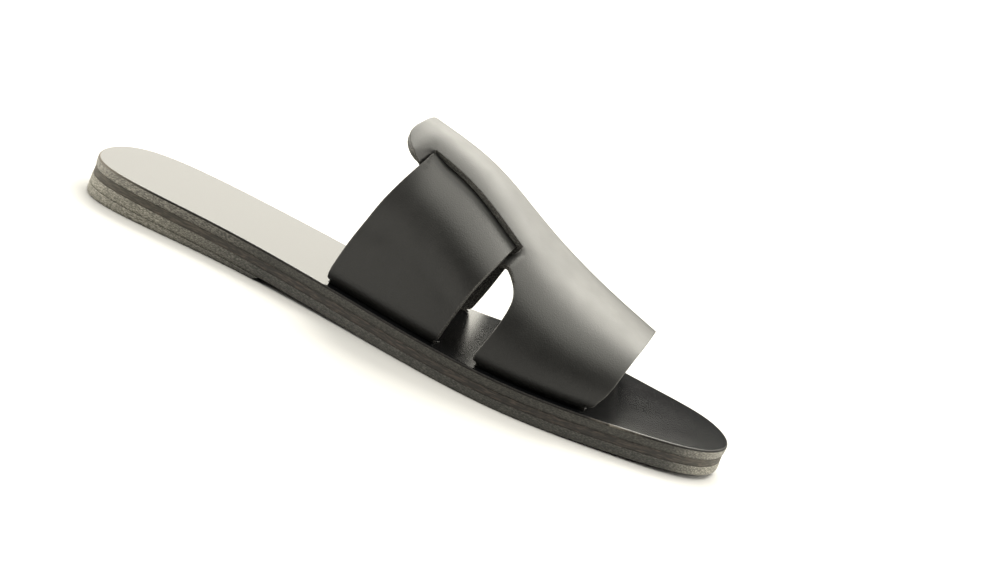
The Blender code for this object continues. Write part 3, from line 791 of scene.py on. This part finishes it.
def strap_half(side, share):
    """x and girth of the strap's rows on one side, from the end of its tongue to just under the bridge."""
    tongue_rows, leg_rows = 12, 30
    flange, lip, under_bridge = np.linspace(24, 8.5, 14), np.linspace(7.8, -1.4, 26), [-3.0, -5.0]
    near_slit = np.concatenate([flange, lip, under_bridge])[:, None]
    leg_steps = np.linspace(0, 1, leg_rows)[1:-1, None]
    corner = np.array([0.0, 0.02, 0.07, 0.15, 0.25, 0.37, 0.5, 0.65, 0.82, 1.0])
    back_radius, front_radius = STRAP_CORNERS[side]
    below = np.linspace(-TONGUE, SHOULDER[side], tongue_rows, endpoint=False)
    height = np.concatenate([below, SHOULDER[side] + corner * front_radius])[:, None]
    shoulder = strap_meets(share, lambda x: foot_girth(x, side) - side * SHOULDER[side])
    slit = strap_meets(share, lambda x: slit_edge(side, x))
    back, front = strap_edges(shoulder + side * np.minimum(SHOULDER[side] - height, 0))
    back = back + corner_inset(height, SHOULDER[side], back_radius)
    front = front - corner_inset(height, SHOULDER[side], front_radius)
    low_x = back + share * (front - back)
    low = foot_girth(low_x, side) - side * height
    near_top = slit + side * near_slit
    high = np.vstack([low[-1] + (near_top[0] - low[-1]) * leg_steps, near_top])
    back, front = strap_edges(high)
    return np.vstack([low_x, back + share * (front - back)]), np.vstack([low, high])


usual_width, threads, bridge_rows = 44.0, 34, 16
near_edge = np.array([0.0, *EDGE_ROWS]) / usual_width
share = np.concatenate([near_edge, np.linspace(0.05, 0.95, threads), 1 - near_edge[::-1]])
outer_x, outer_girth = strap_half(-1, share)
inner_x, inner_girth = strap_half(1, share)
bridge = np.linspace(0, 1, bridge_rows)[1:-1, None]
x = np.vstack([outer_x, outer_x[-1] + bridge * (inner_x[-1] - outer_x[-1]), inner_x[::-1]])
middle = outer_girth[-1] + bridge * (inner_girth[-1] - outer_girth[-1])
girth = np.vstack([outer_girth, middle, inner_girth[::-1]])
width = (x[:, -1] - x[:, 0])[:, None]
to_edge = np.minimum(share, 1 - share) * width
faces = grid_faces(*x.shape)
x, girth, to_edge = x.ravel(), girth.ravel(), to_edge.ravel()
instep_strap = cut_leather("instep_strap", x, girth, strap_lift(x, girth), to_edge, faces, strap_leather)
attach(instep_strap, "root")
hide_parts("upper")


# Insole: the top leather board under the foot, smooth and half glossy. Its rim is rounded over and
# burnished, and four slots in it take the ends of the straps.
INSOLE_SIDE = ((0.0, 0.4), (0.08, 0.2), (0.3, 0.05), (0.7, 0.0), (0.86, 0.08), (0.95, 0.25), (1.0, 0.6))
SLOT_CLEARANCE = 0.12

# Vegetable-tanned insole leather, glazed: black and smooth and half glossy
glazed_leather, tree, shader, place = new_finish("vegetable-tanned leather, glazed")
cloud = noise(tree, place, per_mm(12)[0], 4.0)
pores = noise(tree, place, per_mm(0.5)[0], 2.0)
glazed = blend(tree, ramp(tree, cloud, 0.3, 0.7, 0.0, 1.0), "#0a0b0d", "#101113")
# A few grains of dust, each about a quarter of a millimetre across
grains = add_node(tree, "ShaderNodeTexVoronoi", {"Vector": place, "Scale": per_mm(3.2)[0]}).outputs[0]
dust = ramp(tree, grains, 0.03, 0.05, 0.8, 0.0)
tree.links.new(blend(tree, dust, glazed, "#96958f"), shader.inputs["Base Color"])
tree.links.new(ramp(tree, cloud, 0.3, 0.7, 0.2, 0.22), shader.inputs["Roughness"])
emboss(tree, shader, pores, 0.02, 0.05)
shader.inputs["IOR"].default_value = 1.5

# The same leather's cut edge, dyed and burnished: darker pressed fibres with pale specks between them
burnished_edge = streaked_edge_lit_ends(
    "vegetable-tanned leather, burnished edge",
    streak=(0.9, 0.9, 0.32),
    detail=4.0,
    pale=(0.42, 0.72, 1.0),
    dyed=("#272622", "#4d4b44"),
    # Lighter pair for the heel and the toe ends: a painted highlight where light falls on them
    lit_ends=("#54524c", "#a9a599"),
    relief=(0.5, 0.2),
    roughness=0.5,
)

# Its upper rim, waxed and rubbed to a dark line
waxed_rim, tree, shader, place = new_finish("vegetable-tanned leather, waxed rim")
rubbed = noise(tree, place, per_mm(2)[0], 4.0)
waxed = blend(tree, ramp(tree, rubbed, 0.4, 0.75, 0.0, 0.6), "#0d0c0b", "#2c2925")
# One scuff on the outer side just ahead of the band, and a painted highlight round the back of the heel,
# where light falls on it
scuff_at = (0.093, -0.033, 0.01)
from_scuff = add_node(tree, "ShaderNodeVectorMath", {0: place, 1: scuff_at}, operation="DISTANCE")
near_scuff = ramp(tree, from_scuff.outputs["Value"], 0.002, 0.012, 0.7, 0.0)
patchy = ramp(tree, rubbed, 0.3, 0.7, 0.0, 1.0)
scuff = add_node(tree, "ShaderNodeMath", {0: near_scuff, 1: patchy}, operation="MULTIPLY").outputs[0]
along = add_node(tree, "ShaderNodeSeparateXYZ", {0: place}).outputs[0]
# Painted highlight: the rim turns pale round the back of the heel
heel_back_light = ramp(tree, along, -0.118, -0.096, 0.6, 0.0)
pale = add_node(tree, "ShaderNodeMath", {0: scuff, 1: heel_back_light}, operation="MAXIMUM").outputs[0]
tree.links.new(blend(tree, pale, waxed, "#837d73"), shader.inputs["Base Color"])
emboss(tree, shader, rubbed, 0.3, 0.1)
shader.inputs["Roughness"].default_value = 0.6
shader.inputs["Specular IOR Level"].default_value = 0.25

points, faces, kind = sole_layer(
    INSOLE_SIDE,
    INSOLE,
    lambda x: underside(x) + INSOLE_FROM - PRESSED,
    lambda x: underside(x) + SOLE_TOP,
    rim_rows=5,
)
insole = make_piece("insole_board", points, faces, [burnished_edge, glazed_leather, waxed_rim], kind)
cutter_steps, cutter_heights = 24, np.array([-9.0, 0.0, 6.0])[:, None]
for side in (-1, 1):
    ends = strap_meets(np.array([0.0, 1.0]), lambda x: foot_girth(x, side) - side * SHOULDER[side])
    back, front = strap_edges(ends)
    row = 0 if side < 0 else -1
    legs = (
        (back[0], front[1], STRAP_CORNERS[side]),
        (REAR_EDGE[row][1], FRONT_EDGE[-1 - row][1], BAND_CORNERS[side]),
    )
    for leg_back, leg_front, (back_radius, front_radius) in legs:
        slot_back = leg_back + back_radius - SLOT_CLEARANCE
        slot_front = leg_front - front_radius + SLOT_CLEARANCE
        x = np.linspace(slot_back, slot_front, cutter_steps)
        girth = foot_girth(x, side) - side * cutter_heights
        x = np.tile(x, len(cutter_heights))
        low = np.full(len(x), -SLOT_CLEARANCE)
        high = low + LEATHER + 2 * SLOT_CLEARANCE
        points, faces = sheet(x, girth.ravel(), low, high, grid_faces(*girth.shape))
        cutter = make_piece("slot_cutter", points, faces, [burnished_edge])
        slot = insole.modifiers.new("slot", "BOOLEAN")
        slot.operation = "DIFFERENCE"
        slot.solver = "EXACT"
        slot.object = cutter
bpy.context.view_layer.update()
cut = bpy.data.meshes.new_from_object(insole.evaluated_get(bpy.context.evaluated_depsgraph_get()))
cutters = [modifier.object for modifier in insole.modifiers]
insole.modifiers.clear()
insole.data = cut
for cutter in cutters:
    bpy.data.objects.remove(cutter)
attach(insole, "root")
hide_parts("insole")


# Studio: a plain pale floor that runs out of the picture, a bright wall of light behind the shoe, two soft
# lights over it, one panel on each side, and a dark card that shows only in the gloss of the insole and
# of the leather.
pale_floor = bpy.data.materials.new("matt white floor")
pale_floor.use_nodes = True
shader = pale_floor.node_tree.nodes["Principled BSDF"]
shader.inputs["Base Color"].default_value = linear("#bcbcbc")
shader.inputs["Roughness"].default_value = 0.9


def stage_card(name, corners, finish):
    """A flat four-cornered card of the studio."""
    mesh = bpy.data.meshes.new(name)
    mesh.from_pydata(corners, [], [(0, 1, 2, 3)])
    mesh.materials.append(finish)
    card = bpy.data.objects.new(name, mesh)
    bpy.context.collection.objects.link(card)
    return card


reach = 30.0
floor_corners = [(-reach, -reach, 0), (reach, -reach, 0), (reach, reach, 0), (-reach, reach, 0)]
stage_card("floor", floor_corners, pale_floor)

black_card = bpy.data.materials.new("matt black card")
black_card.use_nodes = True
shader = black_card.node_tree.nodes["Principled BSDF"]
shader.inputs["Base Color"].default_value = linear("#050505")
shader.inputs["Specular IOR Level"].default_value = 0.0
card_corners = [(0.014, 0.1, 0.006), (0.22, 0.1, 0.006), (0.22, 0.1, 0.075), (0.004, 0.1, 0.052)]
card = stage_card("dark_card", card_corners, black_card)
card.visible_camera = False
card.visible_diffuse = False
card.visible_shadow = False
card.visible_transmission = False


def soft_light(name, place, target, size, radiance, colour):
    """A rectangular light that faces a target, with its power from the brightness it should show."""
    lamp = bpy.data.lights.new(name, "AREA")
    lamp.shape = "RECTANGLE"
    lamp.size, lamp.size_y = size
    lamp.energy = radiance * np.pi * size[0] * size[1]
    lamp.color = linear(colour)[:3]
    light = bpy.data.objects.new(name, lamp)
    light.location = place
    light.rotation_euler = (Vector(place) - Vector(target)).to_track_quat("Z", "Y").to_euler()
    light.visible_camera = False
    bpy.context.collection.objects.link(light)


shoe = (0.0, 0.0, 0.05)
soft_light("wall of light", (-0.1, 2.5, 1.0), shoe, (5.0, 1.7), 2.7, "#fffbee")
soft_light("overhead", (0.05, 1.5, 1.6), shoe, (2.6, 1.35), 9.0, "#fffcf1")
soft_light("ceiling", (0.05, -0.15, 2.2), (0.05, -0.15, 0.0), (2.6, 1.7), 4.4, "#fffcf1")
soft_light("left panel", (-1.5, -0.35, 0.45), shoe, (1.2, 0.8), 7.0, "#fffaf0")
soft_light("right panel", (1.5, 0.1, 0.6), shoe, (1.2, 1.0), 5.0, "#fffaf0")

world = bpy.data.worlds.new("studio")
world.use_nodes = True
background = world.node_tree.nodes["Background"]
background.inputs["Color"].default_value = linear("#fffdf8")
background.inputs["Strength"].default_value = 0.08
bpy.context.scene.world = world
bpy.context.scene.view_settings.view_transform = "Standard"


# Camera: a long lens at the outer side of the shoe, a little above it, rolled so that the sole runs down to
# the right. It looks at a place to the right of the shoe's middle, so the shoe lies left in the picture.
AZIMUTH, ELEVATION, ROLL = np.radians([10.0, 13.6, 23.04])
DISTANCE = 1278.8
MIDDLE = np.array([127.0, 0.0, 30.0])
SHIFT_RIGHT, SHIFT_UP = 27.82, 0.1
SENSOR_WIDTH, LENS_TO_SENSOR = 36.0, 3.5
away = np.array([
    np.sin(AZIMUTH) * np.cos(ELEVATION),
    -np.cos(AZIMUTH) * np.cos(ELEVATION),
    np.sin(ELEVATION),
])
level = np.array([np.cos(AZIMUTH), np.sin(AZIMUTH), 0.0])
upright = np.cross(away, level)
target = MIDDLE + SHIFT_RIGHT * level + SHIFT_UP * upright
eye = (target + DISTANCE * away - ORIGIN) * MM
right = np.cos(ROLL) * level + np.sin(ROLL) * upright
up = np.cos(ROLL) * upright - np.sin(ROLL) * level
pose = np.eye(4)
pose[:3] = np.column_stack([right, up, away, eye])
lens = bpy.data.cameras.new("camera")
lens.sensor_width = SENSOR_WIDTH
lens.sensor_fit = "HORIZONTAL"
lens.lens = LENS_TO_SENSOR * SENSOR_WIDTH
camera = bpy.data.objects.new("camera", lens)
camera.matrix_world = Matrix(pose.tolist())
bpy.context.collection.objects.link(camera)
bpy.context.scene.camera = camera
